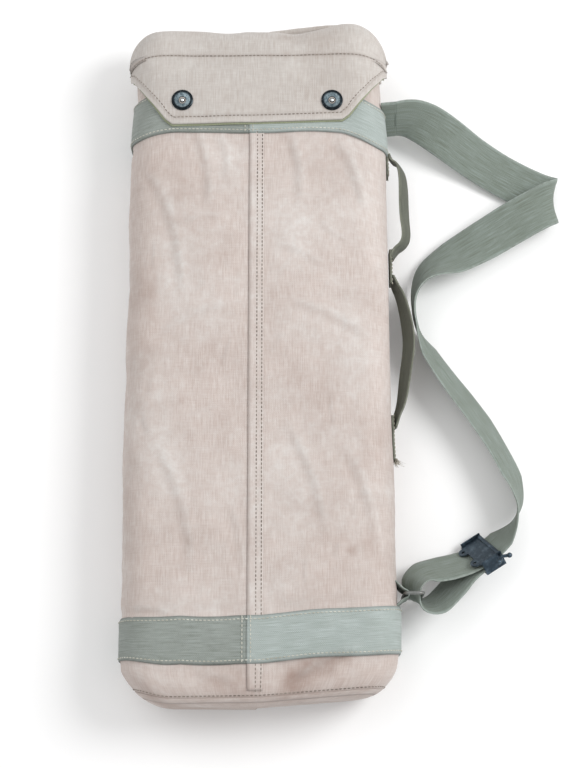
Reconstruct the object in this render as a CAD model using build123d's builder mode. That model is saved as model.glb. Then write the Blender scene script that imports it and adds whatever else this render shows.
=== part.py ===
from build123d import *
import math
import os

os.makedirs("parts", exist_ok=True)

# A flat canvas carrying bag lying on its back: X across the bag, Y along it towards the flap, Z up out
# of the front. The origin is on the back face, which rests at Z = 0. Millimetres.

# Bag
body_width = 242.0
body_depth = 76.0
body_corner = 30.0
bottom_y = -286.0
mouth_y = 300.0
end_corner = 34.0
end_round = 18.0
wall = 2.6
bottom_seam_y = -276.0
seam_x = -7.0
seam_width = 14.0
seam_rise = 1.0
divider_x = 39.0
divider_thickness = 1.6

# Webbing bands round the bag
band_rise = 1.2
band_sunk = 0.3
upper_band = (226.0, 267.0)
lower_band = (-251.0, -210.0)

# Flap
facing_gap = 3.0
ply = 1.3
lap_edge_y = 235.0
lap_corner_x = 79.0
lap_shoulder_y = 270.0
lap_wing_z = 54.0
lap_overreach = 8.0
lap_slope_end = 5.0
crease_y = 299.0
crown_point = (332.0, 42.0)
rear_point = (mouth_y, 1.5)
crown_thickness = 1.6
fold_cutback = 1.2
crown_half_widths = (88.0, 98.0, 90.0)

# Snap fasteners
snap_x = 68.0
snap_y = 255.0
cap_radius = 9.75
cap_height = 1.9
cap_bevel = 1.2
cap_rim = 2.6
cap_dish_radius = 3.6
cap_hole_radius = 3.2
cap_bore_gap = 0.4
socket_radius = 5.0
socket_cavity = 4.3
dome_radius = 2.4
dome_rise = 1.8
socket_depth = 2.4
flange_radius = 8.0
flange_thickness = 0.6
stud_flange_radius = 7.0
stud_flange_height = 0.8
stud_base_radius = 3.0
stud_top_radius = 1.7
rivet_radius = 2.0
rivet_clearance = 0.1
washer_radius = 6.0
washer_thickness = 0.8
stud_clearance = 0.4
rivet_tail = 0.5

# Carrying handle on the right side
handle_width = 18.0
handle_thickness = 2.2
handle_z = 38.0
handle_start_x = 125.8
handle_bend = 3.0

# Ring and its webbing keeper
ring_wire = 1.5
ring_inner_x = 129.5
ring_outer_x = 145.0
ring_y = -190.0
ring_z = 38.5
ring_half_height = 24.0
ring_corner = 4.0
ring_slack = 0.3
keeper_thickness = 1.8
keeper_width = 36.0
keeper_root_x = 117.0
keeper_root_half = 11.0
keeper_wrap_angle = 51.5

# Shoulder strap: the middle line of the webbing, from the bag's side to the back of its buckle
strap_width = 40.0
strap_thickness = 2.0
strap_route = [
    (127.0, 253.0, 40.0), (139.0, 256.0, 39.0), (156.0, 252.0, 33.0), (175.0, 242.0, 24.0),
    (199.0, 227.0, 13.0), (224.0, 212.0, 7.0), (245.0, 201.0, 5.0), (261.0, 193.0, 5.5),
    (273.0, 186.5, 9.5), (276.5, 181.5, 17.0), (272.0, 176.0, 25.0), (258.0, 168.5, 28.0),
    (237.0, 157.0, 26.0), (210.0, 141.0, 21.0),
    (180.0, 124.0, 20.0), (159.0, 113.0, 23.0), (147.0, 98.0, 24.0), (142.0, 79.0, 24.0),
    (145.0, 58.0, 23.0), (157.0, 34.0, 21.0), (172.0, 12.0, 19.0), (186.0, -6.0, 18.0),
    (204.0, -31.0, 18.0), (219.0, -56.0, 18.0), (231.0, -81.0, 20.0), (236.0, -103.0, 22.0),
    (231.0, -122.0, 23.0), (217.0, -139.0, 23.0), (202.0, -152.0, 23.0), (184.0, -160.0, 24.0),
    (165.0, -165.0, 27.0), (148.0, -169.0, 33.0), (138.5, -177.0, 38.0), (138.0, -190.0, 38.5),
    (144.0, -200.0, 37.0), (157.0, -199.0, 33.0), (173.0, -183.0, 26.0), (187.4, -164.6, 21.6),
    (203.9, -153.1, 21.6),
]
# The direction from the webbing's middle to its one edge, at the same places
strap_lean = [
    (0.0, -0.50, -0.86), (-0.1, -0.60, -0.78), (-0.35, -0.75, -0.55), (-0.5, -0.8, -0.25),
    (-0.5, -0.86, -0.05), (-0.5, -0.86, 0.0), (-0.45, -0.9, 0.0), (-0.4, -0.9, 0.0),
    (0.0, -1.0, 0.0), (0.0, -1.0, 0.0), (0.0, -1.0, 0.0), (0.4, -0.9, 0.0),
    (0.5, -0.86, 0.0), (0.5, -0.85, 0.15),
    (0.45, -0.75, 0.4), (0.4, -0.5, 0.75), (0.2, -0.2, 0.95), (0.0, 0.0, 1.0),
    (-0.1, 0.0, 1.0), (-0.4, -0.25, 0.88), (-0.45, -0.3, 0.84), (-0.48, -0.32, 0.82),
    (-0.5, -0.33, 0.8), (-0.5, -0.25, 0.83), (-0.4, -0.15, 0.9), (-0.1, 0.0, 1.0),
    (0.25, -0.1, 0.96), (0.4, -0.4, 0.82), (0.37, -0.44, 0.82), (0.3, -0.5, 0.82),
    (0.2, -0.35, 0.92), (0.1, -0.1, 0.99), (0.0, 0.0, 1.0), (0.0, 0.0, 1.0),
    (0.0, 0.0, 1.0), (0.0, 0.1, 1.0), (0.2, -0.15, 0.96), (0.36, -0.42, 0.83),
    (0.37, -0.44, 0.82),
]
arc_share = 0.45
section_step = 5.0
anchor_depth = 12.0

# Buckle on the strap
buckle_place = 28
buckle_half_width = 22.8
buckle_length = 20.0
buckle_sheet = 1.2
buckle_base_drop = 5.8
buckle_pin_radius = 1.5
buckle_pin_height = 5.2
buckle_pin_reach = 8.0
lobe_radius = 4.2
lobe_hole = 1.6
tine_reach = 9.0
tine_spread = 5.5
tine_knob = 2.3
pin_inset = 2.0
pin_overhang = 1.0
side_above_pin = 3.0
gripper_clearance = 0.5
gripper_reach = 19.0
lobe_spacing = 12.5
lobe_rim = 2.0


def save(builder, name):
    """Label a finished piece and write it as one STEP file."""
    builder.part.label = name
    export_step(builder.part, f"parts/{name}.step")


def bag_form(grow):
    """The bag's outer shape with every face moved out by grow, open-ended at the mouth."""
    with BuildPart() as form:
        with BuildSketch(Plane.XZ.offset(-(bottom_y - grow))):
            with Locations((0, body_depth / 2)):
                RectangleRounded(body_width + 2 * grow, body_depth + 2 * grow, body_corner + grow)
        extrude(amount=bottom_y - grow - mouth_y)
        with BuildSketch(Plane.XY.offset(-grow)):
            length = 2 * (mouth_y - bottom_y)
            with Locations((0, bottom_y - grow + length / 2)):
                RectangleRounded(body_width + 2 * grow, length, end_corner + grow)
        extrude(amount=body_depth + 2 * grow, mode=Mode.INTERSECT)
        with BuildSketch(Plane.YZ.offset(-body_width)):
            with Locations((bottom_y - grow + length / 2, body_depth / 2)):
                RectangleRounded(length, body_depth + 2 * grow, end_round + grow)
        extrude(amount=2 * body_width, mode=Mode.INTERSECT)
    return form.part


def sleeve(low_y, high_y, side, front, back):
    """A length of the bag's cross-section, grown by side, front and back."""
    with BuildPart() as made:
        with BuildSketch(Plane.XZ.offset(-low_y)):
            with Locations((0, (body_depth + front - back) / 2)):
                RectangleRounded(
                    body_width + 2 * side, body_depth + front + back, body_corner + side
                )
        extrude(amount=low_y - high_y)
    return made.part


outer_form = bag_form(0)
inner_form = bag_form(-wall)
band_rings = [
    sleeve(low, high, band_rise, band_rise, 0)
    - sleeve(low - 1, high + 1, -band_sunk, -band_sunk, -band_rise)
    for low, high in (upper_band, lower_band)
]
snap_spots = [(-snap_x, snap_y), (snap_x, snap_y)]
seam_plane = Plane.YZ.offset(seam_x)

# Body halves: the right one carries the felled seam's raised strip
for side_name, kept in (("left", Keep.BOTTOM), ("right", Keep.TOP)):
    with BuildPart() as body_panel:
        add(outer_form)
        if side_name == "right":
            with Locations((seam_x + seam_width / 2, (mouth_y + bottom_seam_y) / 2, body_depth)):
                Box(seam_width, mouth_y - bottom_seam_y, 2 * seam_rise)
        add(inner_form, mode=Mode.SUBTRACT)
        for ring in band_rings:
            add(ring, mode=Mode.SUBTRACT)
        with BuildSketch(Plane.XY.offset(body_depth / 2)):
            with Locations(*snap_spots):
                Circle(rivet_radius + rivet_clearance)
        extrude(amount=body_depth, mode=Mode.SUBTRACT)
        split(bisect_by=seam_plane, keep=kept)
        split(bisect_by=Plane.XZ.offset(-bottom_seam_y), keep=Keep.BOTTOM)
    save(body_panel, f"body_panel_{side_name}")

with BuildPart() as bottom_panel:
    add(outer_form)
    add(inner_form, mode=Mode.SUBTRACT)
    split(bisect_by=Plane.XZ.offset(-bottom_seam_y), keep=Keep.TOP)
save(bottom_panel, "bottom_panel")

# Two partitions make three long compartments
for side_name, x in (("left", -divider_x), ("right", divider_x)):
    with BuildPart() as divider:
        with Locations((x, 0, body_depth / 2)):
            Box(divider_thickness, 4 * mouth_y, 2 * body_depth)
        add(inner_form, mode=Mode.INTERSECT)
    save(divider, f"divider_{side_name}")

# Webbing bands, each in two lengths that meet at the seam
for band_name, ring in zip(("upper", "lower"), band_rings):
    for side_name, kept in (("left", Keep.BOTTOM), ("right", Keep.TOP)):
        with BuildPart() as band:
            add(ring)
            if band_name == "upper":
                with BuildSketch(Plane.XY.offset(body_depth / 2)):
                    with Locations(*snap_spots):
                        Circle(rivet_radius + rivet_clearance)
                extrude(amount=body_depth, mode=Mode.SUBTRACT)
            split(bisect_by=seam_plane, keep=kept)
        save(band, f"{band_name}_band_{side_name}")

# Flap, in three lengths that turn at its folds: rear, crown and lap
crease_z = body_depth + facing_gap + ply


def link_plane(start, end):
    """The plane of a flap length that runs from start to end, both (y, z), with its y axis along it."""
    run_y, run_z = end[0] - start[0], end[1] - start[1]
    return Plane(origin=(0, *start), x_dir=(1, 0, 0), z_dir=(0, -run_z, run_y))


crown_lengths = [
    ("flap_rear", rear_point, crown_point, crown_half_widths[0], crown_half_widths[1]),
    ("flap_crown", crown_point, (crease_y, crease_z), crown_half_widths[1], crown_half_widths[2]),
]
for link_name, start, end, half_start, half_end in crown_lengths:
    with BuildPart() as flap_length:
        reach = math.dist(start, end) - fold_cutback
        with BuildSketch(link_plane(start, end)):
            Polygon(
                (-half_start, fold_cutback),
                (half_start, fold_cutback),
                (half_end, reach),
                (-half_end, reach),
                align=None,
            )
        extrude(amount=crown_thickness / 2, both=True)
    save(flap_length, link_name)

lap_plies = [("flap_facing", facing_gap, 1.0), ("flap_lap", facing_gap + ply, 0.0)]
for ply_name, inner_gap, inset in lap_plies:
    with BuildPart() as lap_ply:
        outer_gap = inner_gap + ply
        add(sleeve(lap_edge_y, crease_y - 1.0, outer_gap, outer_gap, 0))
        add(sleeve(lap_edge_y - 1, crease_y, inner_gap, inner_gap, 0), mode=Mode.SUBTRACT)
        with BuildSketch(Plane.XY.offset(lap_wing_z)):
            Polygon(
                (-lap_corner_x + inset, lap_edge_y + inset),
                (lap_corner_x - inset, lap_edge_y + inset),
                (body_width / 2 + lap_overreach - inset, lap_shoulder_y + lap_slope_end + inset),
                (body_width / 2 + lap_overreach - inset, crease_y),
                (-body_width / 2 - lap_overreach + inset, crease_y),
                (-body_width / 2 - lap_overreach + inset, lap_shoulder_y + lap_slope_end + inset),
                align=None,
            )
        extrude(amount=body_depth, mode=Mode.INTERSECT)
        with BuildSketch(Plane.XY.offset(body_depth / 2)):
            with Locations(*snap_spots):
                Circle(socket_radius + rivet_clearance)
        extrude(amount=body_depth, mode=Mode.SUBTRACT)
    save(lap_ply, ply_name)

# Snap fasteners: a dished cap over a domed socket on the flap, a stud and its washer on the bag
lap_top = body_depth + facing_gap + 2 * ply
facing_under = body_depth + facing_gap
band_top = body_depth + band_rise
inner_face = body_depth - wall
socket_floor = facing_under - flange_thickness
socket_roof = socket_floor + socket_depth
dome_top = lap_top + dome_rise
rivet_foot = inner_face - washer_thickness - rivet_tail


def snap_section(x, y):
    """The upright plane through a snap's axis."""
    return Plane(origin=(x, y, 0), x_dir=(1, 0, 0), z_dir=(0, -1, 0))


for side_name, (x, y) in zip(("left", "right"), snap_spots):
    turn_axis = Axis((x, y, 0), (0, 0, 1))
    with BuildPart() as snap_cap:
        with BuildSketch(snap_section(x, y)):
            with BuildLine():
                Polyline(
                    (socket_radius + cap_bore_gap, lap_top),
                    (cap_radius, lap_top),
                    (cap_radius, lap_top + 0.6 * cap_height),
                    (cap_radius - cap_bevel, lap_top + cap_height),
                    (cap_radius - cap_rim, lap_top + 0.8 * cap_height),
                    (cap_dish_radius, lap_top + 0.55 * cap_height),
                    (cap_hole_radius, lap_top + 0.3 * cap_height),
                    (socket_radius + cap_bore_gap, lap_top + 0.3 * cap_height),
                    close=True,
                )
            make_face()
        revolve(axis=turn_axis)
    save(snap_cap, f"snap_cap_{side_name}")

    with BuildPart() as snap_socket:
        with BuildSketch(snap_section(x, y)):
            with BuildLine():
                Polyline(
                    (socket_cavity, socket_floor),
                    (flange_radius, socket_floor),
                    (flange_radius, facing_under),
                    (socket_radius, facing_under),
                    (socket_radius, dome_top - dome_radius),
                    (dome_radius, dome_top - dome_radius),
                )
                RadiusArc((dome_radius, dome_top - dome_radius), (0, dome_top), -dome_radius)
                Polyline(
                    (0, dome_top),
                    (0, socket_roof),
                    (socket_cavity, socket_roof),
                    (socket_cavity, socket_floor),
                )
            make_face()
        revolve(axis=turn_axis)
    save(snap_socket, f"snap_socket_{side_name}")

    with BuildPart() as snap_stud:
        with BuildSketch(snap_section(x, y)):
            stud_top = socket_roof - stud_clearance
            with BuildLine():
                Polyline(
                    (0, rivet_foot),
                    (rivet_radius, rivet_foot),
                    (rivet_radius, band_top),
                    (stud_flange_radius, band_top),
                    (stud_flange_radius, band_top + stud_flange_height),
                    (stud_base_radius, band_top + stud_flange_height),
                    (stud_top_radius, stud_top),
                    (0, stud_top),
                    close=True,
                )
            make_face()
        revolve(axis=turn_axis)
    save(snap_stud, f"snap_stud_{side_name}")

    with BuildPart() as stud_washer:
        with BuildSketch(Plane.XY.offset(inner_face - washer_thickness)):
            with Locations((x, y)):
                Circle(washer_radius)
                Circle(rivet_radius + rivet_clearance, mode=Mode.SUBTRACT)
        extrude(amount=washer_thickness)
    save(stud_washer, f"stud_washer_{side_name}")

# Carrying handle: one webbing in two loops, sewn down above, between and below them
handle_low = handle_z - handle_width / 2
side_x = body_width / 2
loop_lines = {
    "handle_loop_upper": [
        (handle_start_x, 211.5), (131.0, 208.5), (135.0, 198.0), (135.0, 160.0), (138.0, 140.0),
        (134.5, 132.0), (handle_start_x, 129.5),
    ],
    "handle_loop_lower": [
        (handle_start_x, 92.0), (131.0, 82.0), (136.5, 58.0), (138.5, 36.0), (134.0, 8.0),
        (131.0, -18.0), (handle_start_x, -31.0),
    ],
}
for loop_name, points in loop_lines.items():
    with BuildPart() as handle_loop:
        with BuildSketch(Plane.XY.offset(handle_low)):
            with BuildLine():
                FilletPolyline(*points, radius=handle_bend)
            trace(line_width=handle_thickness)
        extrude(amount=handle_width)
    save(handle_loop, loop_name)

tack_spans = {
    "handle_tack_top": (212.6, 224.0),
    "handle_tack_middle": (95.0, 126.0),
    "handle_tail": (-66.0, -32.2),
}
for tack_name, (low_y, high_y) in tack_spans.items():
    with BuildPart() as tack:
        with Locations((side_x, (low_y + high_y) / 2, handle_z)):
            Box(2 * handle_thickness, high_y - low_y, handle_width)
        add(outer_form, mode=Mode.SUBTRACT)
    save(tack, tack_name)

# Wire ring and the folded webbing that holds it on the side
with BuildSketch(Plane.XZ.offset(-ring_y)) as ring_outline:
    with Locations(((ring_inner_x + ring_outer_x) / 2, ring_z)):
        RectangleRounded(ring_outer_x - ring_inner_x, 2 * ring_half_height, ring_corner)
ring_path = ring_outline.sketch.face().outer_wire()
with BuildPart() as strap_ring:
    with BuildSketch(Plane(origin=ring_path @ 0, z_dir=ring_path % 0)):
        Circle(ring_wire)
    sweep(path=ring_path)
save(strap_ring, "strap_ring")

with BuildPart() as ring_keeper:
    wrap = ring_wire + ring_slack + keeper_thickness
    wrap_x = ring_inner_x + wrap * math.cos(math.radians(keeper_wrap_angle))
    wrap_half = wrap * math.sin(math.radians(keeper_wrap_angle))
    with BuildSketch(Plane.XY.offset(ring_z - keeper_width / 2)) as keeper_shape:
        Polygon(
            (keeper_root_x, ring_y + keeper_root_half),
            (wrap_x, ring_y + wrap_half),
            (wrap_x, ring_y - wrap_half),
            (keeper_root_x, ring_y - keeper_root_half),
            align=None,
        )
        with Locations((ring_inner_x, ring_y)):
            Circle(wrap)
        offset(amount=-keeper_thickness, mode=Mode.SUBTRACT)
        with Locations((ring_inner_x, ring_y)):
            Circle(wrap - keeper_thickness, mode=Mode.SUBTRACT)
    extrude(amount=keeper_width)
    add(outer_form, mode=Mode.SUBTRACT)
save(ring_keeper, "ring_keeper")


def turn_radii(route):
    """The largest radius that the two runs at each corner allow."""
    radii = []
    for a, b, c in zip(route, route[1:], route[2:]):
        run_in, run_out = Vector(b) - Vector(a), Vector(c) - Vector(b)
        half_turn = math.radians(run_in.get_angle(run_out)) / 2
        radii.append(arc_share * min(run_in.length, run_out.length) / math.tan(half_turn))
    return radii


def leaning(fraction):
    """The webbing's edge direction at a fraction of the route's length."""
    reach = [0.0]
    for a, b in zip(strap_route, strap_route[1:]):
        reach.append(reach[-1] + math.dist(a, b))
    at = fraction * reach[-1]
    for i in range(len(reach) - 1):
        if at <= reach[i + 1] or i == len(reach) - 2:
            share = min(1.0, (at - reach[i]) / (reach[i + 1] - reach[i]))
            return Vector(strap_lean[i]) * (1 - share) + Vector(strap_lean[i + 1]) * share


def across(lean, along):
    """The part of a lean direction that is square to the webbing's run."""
    return (lean - along * lean.dot(along)).normalized()


# Shoulder strap: webbing that follows straight runs joined by tangent arcs, and twists on the way
strap_radii = turn_radii(strap_route)
print("strap radii", [round(r, 1) for r in strap_radii])
strap_path = FilletPolyline(*strap_route, radius=strap_radii)
strap_length = strap_path.length
strap_steps = math.ceil(strap_length / section_step)


def strap_section(fraction):
    """The plane square to the webbing at a fraction of its length, with x along its width."""
    along = strap_path % fraction
    return Plane(origin=strap_path @ fraction, x_dir=across(leaning(fraction), along), z_dir=along)


with BuildPart() as shoulder_strap:
    for i in range(strap_steps):
        for end in (i, i + 1):
            with BuildSketch(strap_section(end / strap_steps)):
                Rectangle(strap_width, strap_thickness)
        loft(ruled=True)
save(shoulder_strap, "shoulder_strap")
print("strap length", round(strap_length, 1), "volume", round(shoulder_strap.part.volume),
      "section x length", round(strap_length * strap_width * strap_thickness))

# The strap's doubled end, sewn on the upper band
with BuildPart() as strap_anchor:
    with BuildSketch(strap_section(0)):
        Rectangle(strap_width + 1.0, 2 * strap_thickness)
    extrude(amount=-anchor_depth)
    add(outer_form, mode=Mode.SUBTRACT)
    add(band_rings[0], mode=Mode.SUBTRACT)
save(strap_anchor, "strap_anchor")

# Buckle: a channel behind the two webbing layers, a pin with forked ends, and a lobed gripper plate
middle = Vector(strap_route[buckle_place])
run = (Vector(strap_route[buckle_place - 1]) - Vector(strap_route[buckle_place + 1])).normalized()
edge_way = across(Vector(strap_lean[buckle_place]), run)
face_way = edge_way.cross(run)
buckle_plane = Plane(origin=middle, x_dir=edge_way, z_dir=face_way)
pin_y = buckle_length / 2 - pin_inset

with BuildPart() as buckle_frame:
    with BuildSketch(buckle_plane.offset(-buckle_base_drop)):
        Rectangle(2 * buckle_half_width, buckle_length)
    extrude(amount=buckle_sheet)
    with BuildSketch(buckle_plane.offset(-buckle_base_drop)):
        with Locations((buckle_half_width - buckle_sheet / 2, 0), (-buckle_half_width + buckle_sheet / 2, 0)):
            Rectangle(buckle_sheet, buckle_length)
    extrude(amount=buckle_base_drop + buckle_pin_height + side_above_pin)
    with BuildSketch(Plane(origin=buckle_plane.from_local_coords((-2 * buckle_half_width, pin_y,
                     buckle_pin_height)), x_dir=run, z_dir=edge_way)):
        Circle(buckle_pin_radius + rivet_clearance)
    extrude(amount=4 * buckle_half_width, mode=Mode.SUBTRACT)
save(buckle_frame, "buckle_frame")

pin_start = buckle_plane.from_local_coords((-buckle_half_width - pin_overhang, pin_y, buckle_pin_height))
pin_end = buckle_plane.from_local_coords((buckle_half_width + buckle_pin_reach / 2, pin_y,
                                          buckle_pin_height))
with BuildPart() as buckle_pin:
    with BuildSketch(Plane(origin=pin_start, x_dir=run, z_dir=edge_way)):
        Circle(buckle_pin_radius)
    extrude(amount=(pin_end - pin_start).length)
    for way in (1, -1):
        tip = buckle_plane.from_local_coords((buckle_half_width + tine_reach, pin_y + way * tine_spread,
                                              buckle_pin_height))
        with BuildSketch(Plane(origin=pin_end, z_dir=tip - pin_end)):
            Circle(buckle_pin_radius)
        extrude(amount=(tip - pin_end).length)
        with Locations(tip):
            Sphere(tine_knob)
    with Locations(pin_end):
        Sphere(buckle_pin_radius)
save(buckle_pin, "buckle_pin")

knuckle_half = buckle_half_width - buckle_sheet - gripper_clearance
with BuildPart() as buckle_gripper:
    knuckle_start = buckle_plane.from_local_coords((-knuckle_half, pin_y, buckle_pin_height))
    with BuildSketch(Plane(origin=knuckle_start, x_dir=run, z_dir=edge_way)):
        Circle(buckle_pin_radius + rivet_clearance + buckle_sheet / 2)
    extrude(amount=2 * knuckle_half)
    with BuildSketch(buckle_plane.offset(buckle_pin_height - buckle_sheet / 2)):
        with Locations((0, pin_y - gripper_reach / 2)):
            Rectangle(2 * knuckle_half, gripper_reach)
        with Locations(*[(side * lobe_spacing, pin_y - gripper_reach) for side in (-1, 1)]):
            Circle(lobe_radius + lobe_rim)
        with Locations(*[(side * lobe_spacing, pin_y - gripper_reach - lobe_rim) for side in (-1, 1)]):
            Circle(lobe_hole, mode=Mode.SUBTRACT)
    extrude(amount=buckle_sheet)
    with BuildSketch(Plane(origin=knuckle_start, x_dir=run, z_dir=edge_way)):
        Circle(buckle_pin_radius + rivet_clearance)
    extrude(amount=2 * knuckle_half, mode=Mode.SUBTRACT)
save(buckle_gripper, "buckle_gripper")
print("buckle pin at", pin_start, "axis", edge_way)
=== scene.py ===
"""The look of a canvas carrying bag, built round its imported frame.

Metres. The bag lies on its back: +X to its right, +Y towards its mouth, +Z out of its front.
"""
import math

import bpy
import numpy as np
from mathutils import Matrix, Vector


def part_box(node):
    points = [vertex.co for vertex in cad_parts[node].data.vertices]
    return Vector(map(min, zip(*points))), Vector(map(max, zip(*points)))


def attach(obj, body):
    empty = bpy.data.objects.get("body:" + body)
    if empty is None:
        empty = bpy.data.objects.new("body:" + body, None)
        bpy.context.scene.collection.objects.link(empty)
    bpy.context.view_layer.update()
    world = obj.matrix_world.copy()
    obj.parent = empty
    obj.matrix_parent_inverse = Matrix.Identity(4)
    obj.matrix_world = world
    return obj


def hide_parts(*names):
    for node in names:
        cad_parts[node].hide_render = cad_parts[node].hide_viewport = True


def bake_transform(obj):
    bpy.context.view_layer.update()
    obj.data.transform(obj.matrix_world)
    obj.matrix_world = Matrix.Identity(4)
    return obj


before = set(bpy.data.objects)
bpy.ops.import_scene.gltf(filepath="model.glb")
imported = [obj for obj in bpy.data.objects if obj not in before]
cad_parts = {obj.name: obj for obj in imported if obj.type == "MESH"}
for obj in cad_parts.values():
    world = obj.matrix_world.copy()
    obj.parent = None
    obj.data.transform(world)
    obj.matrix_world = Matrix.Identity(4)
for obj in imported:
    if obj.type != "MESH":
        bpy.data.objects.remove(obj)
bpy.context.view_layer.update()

# The bag's plain form, from the frame
mouth_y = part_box("body_panel_left")[1].y
bottom_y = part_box("bottom_panel")[0].y
half_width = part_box("body_panel_right")[1].x
depth = 0.076
side_corner = 0.030
end_corner = 0.034
end_round = 0.018
wall = 0.0026
flat_half = half_width - side_corner
corner_run = side_corner * math.pi / 2
side_run = depth - 2 * side_corner
half_girth = 2 * (flat_half + corner_run) + side_run

# The webbing round the bag: heights of its two edges
upper_band = (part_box("upper_band_left")[0].y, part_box("upper_band_left")[1].y)
lower_band = (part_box("lower_band_left")[0].y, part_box("lower_band_left")[1].y)
band_lift = 0.0014
seam_edge = -0.0075
seam_end = 0.0068
snap_spots = [((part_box(n)[0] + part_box(n)[1]) / 2).xy for n in ("snap_cap_left", "snap_cap_right")]

# The flap: the middle line of its cloth from the back seam over the crown to the fold (y, z)
flap_line = [
    (0.2975, 0.0012), (0.3060, 0.0024), (0.3190, 0.0085), (0.3300, 0.0220), (0.3350, 0.0420),
    (0.3310, 0.0600), (0.3190, 0.0740), (0.2990, 0.0812),
]
flap_ply = 0.0024
hem_depths = (-0.0014, 0.0020, 0.0050, 0.0085)
fold_y = 0.299
lap_z = 0.0814
# Height of the lap's lower edge at distances from its middle
lap_edge_places = (0.0, 0.077, 0.083, 0.095, 0.108, 0.120, 0.128)
lap_edge_heights = (0.2350, 0.2350, 0.2395, 0.2545, 0.2690, 0.2800, 0.2840)
crown_cuts = (0.034, 0.050)

strap_route = [
    (0.1270, 0.2530, 0.0400), (0.1390, 0.2560, 0.0390), (0.1560, 0.2520, 0.0330),
    (0.1750, 0.2420, 0.0240), (0.1990, 0.2270, 0.0130), (0.2240, 0.2120, 0.0070),
    (0.2450, 0.2010, 0.0050), (0.2610, 0.1930, 0.0055), (0.2730, 0.1865, 0.0095),
    (0.2765, 0.1815, 0.0170), (0.2720, 0.1760, 0.0250), (0.2580, 0.1685, 0.0280),
    (0.2370, 0.1570, 0.0260), (0.2100, 0.1410, 0.0210), (0.1800, 0.1240, 0.0200),
    (0.1590, 0.1130, 0.0230), (0.1470, 0.0980, 0.0240), (0.1420, 0.0790, 0.0240),
    (0.1450, 0.0580, 0.0230), (0.1570, 0.0340, 0.0210), (0.1720, 0.0120, 0.0190),
    (0.1860, -0.0060, 0.0180), (0.2040, -0.0310, 0.0180), (0.2190, -0.0560, 0.0180),
    (0.2310, -0.0810, 0.0200), (0.2360, -0.1030, 0.0220), (0.2310, -0.1220, 0.0230),
    (0.2170, -0.1390, 0.0230), (0.2020, -0.1520, 0.0230), (0.1840, -0.1600, 0.0240),
    (0.1650, -0.1650, 0.0270), (0.1480, -0.1690, 0.0330), (0.1385, -0.1770, 0.0380),
    (0.1380, -0.1900, 0.0385), (0.1440, -0.2000, 0.0370), (0.1570, -0.1990, 0.0330),
    (0.1730, -0.1830, 0.0260), (0.1874, -0.1646, 0.0216), (0.2039, -0.1531, 0.0216),
]
strap_lean = [
    (0.0, -0.50, -0.86), (-0.1, -0.60, -0.78), (-0.35, -0.75, -0.55), (-0.5, -0.8, -0.25),
    (-0.5, -0.86, -0.05), (-0.5, -0.86, 0.0), (-0.45, -0.9, 0.0), (-0.4, -0.9, 0.0),
    (0.0, -1.0, 0.0), (0.0, -1.0, 0.0), (0.0, -1.0, 0.0), (0.4, -0.9, 0.0),
    (0.5, -0.86, 0.0), (0.5, -0.85, 0.15),
    (0.45, -0.75, 0.4), (0.4, -0.5, 0.75), (0.2, -0.2, 0.95), (0.0, 0.0, 1.0),
    (-0.1, 0.0, 1.0), (-0.4, -0.25, 0.88), (-0.45, -0.3, 0.84), (-0.48, -0.32, 0.82),
    (-0.5, -0.33, 0.8), (-0.5, -0.25, 0.83), (-0.5, -0.20, 0.84), (-0.3, -0.05, 0.95),
    (0.0, -0.05, 1.0), (0.36, -0.36, 0.85), (0.37, -0.44, 0.82), (0.28, -0.56, 0.78),
    (0.25, -0.60, 0.76), (0.45, -0.50, 0.74), (0.50, -0.22, 0.84), (0.22, -0.12, 0.97),
    (0.10, -0.30, 0.95), (0.15, -0.50, 0.85), (0.28, -0.48, 0.82), (0.36, -0.42, 0.83),
    (0.37, -0.44, 0.82),
]

# Handle webbing at the right side, seen from the front (x, y), and its ring's keeper
handle_z = 0.038
upper_loop_line = [
    (0.1215, 0.2170), (0.1235, 0.2115), (0.1300, 0.2085), (0.1345, 0.1970), (0.1345, 0.1600),
    (0.1370, 0.1400), (0.1335, 0.1310), (0.1250, 0.1250), (0.1225, 0.1180),
]
lower_loop_line = [
    (0.1225, 0.1000), (0.1250, 0.0920), (0.1305, 0.0820), (0.1360, 0.0580), (0.1380, 0.0360),
    (0.1335, 0.0080), (0.1300, -0.0180), (0.1245, -0.0310), (0.1235, -0.0400),
]
handle_width = 0.018
handle_ply = 0.0022
strap_width = 0.040
strap_ply = 0.0020
keeper_width = 0.036
keeper_ply = 0.0018
band_ply = 0.0016
# Names of the marks kept on the points: soil with painted shadow, fading, and painted shade.
mark_words = ("soil_and_shadow", "fade", "shade")
ring_bar_x = 0.1295
ring_y = -0.190
ring_z = 0.0385


# ---------------------------------------------------------------- numbers and shapes

def smooth(t):
    """0 below 0, 1 above 1, and an even turn between."""
    t = np.clip(t, 0.0, 1.0)
    return t * t * (3.0 - 2.0 * t)


def swell(s, y, size, seed):
    """Smooth noise from -1 to 1 with features about size across, closing on itself round the bag."""
    cells = max(3, round(2 * half_girth / size))
    heights = np.random.default_rng(seed).uniform(-1.0, 1.0, (cells, 64))
    u = (s / (2 * half_girth)) * cells + 4 * cells
    v = y / size + 32.0
    iu, iv = np.floor(u).astype(int), np.floor(v).astype(int)
    fu, fv = smooth(u - iu), smooth(v - iv)
    a, b = iu % cells, (iu + 1) % cells
    c, d = iv % 64, (iv + 1) % 64
    low = heights[a, c] * (1 - fu) + heights[b, c] * fu
    high = heights[a, d] * (1 - fu) + heights[b, d] * fu
    return low * (1 - fv) + high * fv


def groove(s, y, start, end, width):
    """1 along the line from start to end, fading to 0 across it and at its ends."""
    run = np.array(end) - np.array(start)
    length = np.hypot(*run)
    along = ((s - start[0]) * run[0] + (y - start[1]) * run[1]) / length
    away = ((s - start[0]) * -run[1] + (y - start[1]) * run[0]) / length
    bow = 0.06 * length * np.sin(np.clip(along / length, 0, 1) * math.pi)
    ends = smooth(along / (0.25 * length)) * smooth((length - along) / (0.25 * length))
    return np.exp(-(((away - bow) / width) ** 2)) * ends


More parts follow.
